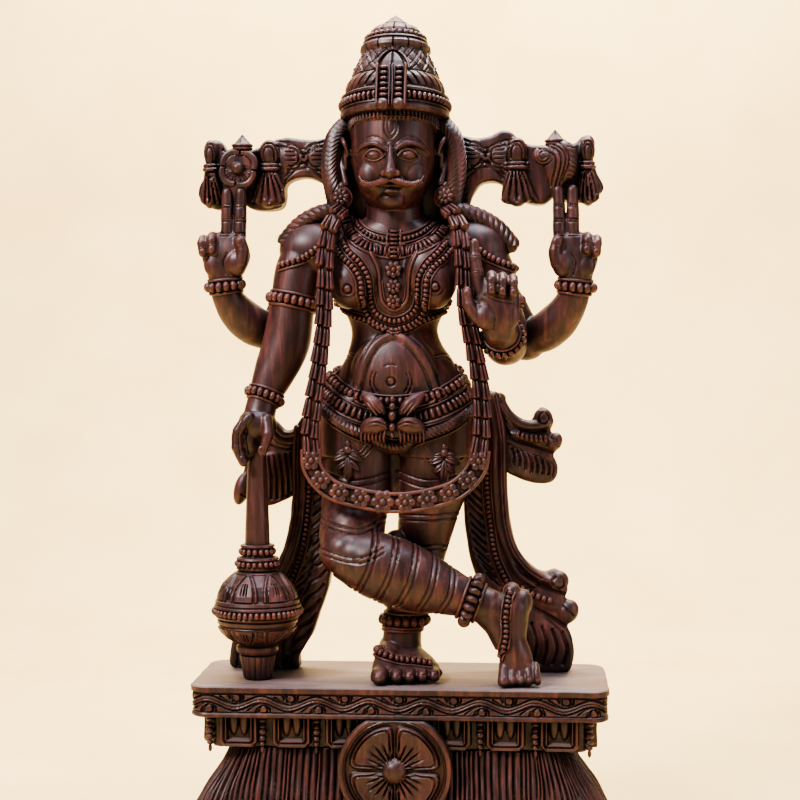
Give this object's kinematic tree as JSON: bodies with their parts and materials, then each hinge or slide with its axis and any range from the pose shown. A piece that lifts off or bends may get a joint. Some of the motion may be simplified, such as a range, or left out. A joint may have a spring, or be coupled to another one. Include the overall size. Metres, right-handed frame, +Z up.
{
  "type": "carved wooden guardian statue",
  "caption": "Dark carved wooden standing deity with tall crown, mace, discus, conch, garland and raised hand, dowelled together on a lotus-petal pedestal.",
  "frame": {"origin": "centre of the underside of the base board", "axes": "+Z up through the crown, -Y towards the front of the figure, +X towards the figure's own left"},
  "size_m": [0.63, 0.25, 1.2142],
  "materials": {
    "carved_wood": "dark red-brown stain, waxed to a soft shine on the high points, darker in the carving",
    "pedestal_wood": "the same stain, a little duller, with dust on the top",
    "dowel_wood": "plain unstained hardwood, hidden",
    "screw_steel": "plain steel, hidden under the board"
  },
  "bodies": {
    "root": {"base_board": "pedestal_wood", "fluted_bell": "pedestal_wood", "petal_apron": "pedestal_wood", "plinth_slab": "pedestal_wood", "front_medallion": "pedestal_wood", "torso": "carved_wood", "head": "carved_wood", "crown": "carved_wood", "standing_leg": "carved_wood", "crossed_leg": "carved_wood", "mace_arm": "carved_wood", "gesture_arm": "carved_wood", "discus_arm": "carved_wood", "conch_arm": "carved_wood", "right_ribbon": "carved_wood", "left_ribbon": "carved_wood", "discus": "carved_wood", "conch": "carved_wood", "mace_shaft": "carved_wood", "mace_head": "carved_wood", "garland": "carved_wood", "right_scarf": "carved_wood", "left_scarf": "carved_wood", "right_scarf_tail": "carved_wood", "left_scarf_tail": "carved_wood", "crown_dowel": "dowel_wood", "neck_dowel": "dowel_wood", "mace_arm_dowel": "dowel_wood", "gesture_arm_dowel": "dowel_wood", "discus_arm_dowel": "dowel_wood", "conch_arm_dowel": "dowel_wood", "right_hip_dowel": "dowel_wood", "left_hip_dowel": "dowel_wood", "standing_foot_dowel": "dowel_wood", "crossed_foot_dowel": "dowel_wood", "mace_foot_dowel": "dowel_wood", "mace_shaft_dowel": "dowel_wood", "right_ribbon_dowel": "dowel_wood", "left_ribbon_dowel": "dowel_wood", "discus_dowel": "dowel_wood", "conch_dowel": "dowel_wood", "right_scarf_dowel": "dowel_wood", "left_scarf_dowel": "dowel_wood", "right_scarf_peg": "dowel_wood", "left_scarf_peg": "dowel_wood", "right_tail_dowel": "dowel_wood", "left_tail_dowel": "dowel_wood", "right_garland_peg": "dowel_wood", "left_garland_peg": "dowel_wood", "medallion_dowel": "dowel_wood", "pedestal_dowel_right": "dowel_wood", "pedestal_dowel_left": "dowel_wood", "base_screw_1": "screw_steel", "base_screw_2": "screw_steel", "base_screw_3": "screw_steel", "base_screw_4": "screw_steel"}
  },
  "joints": []
}
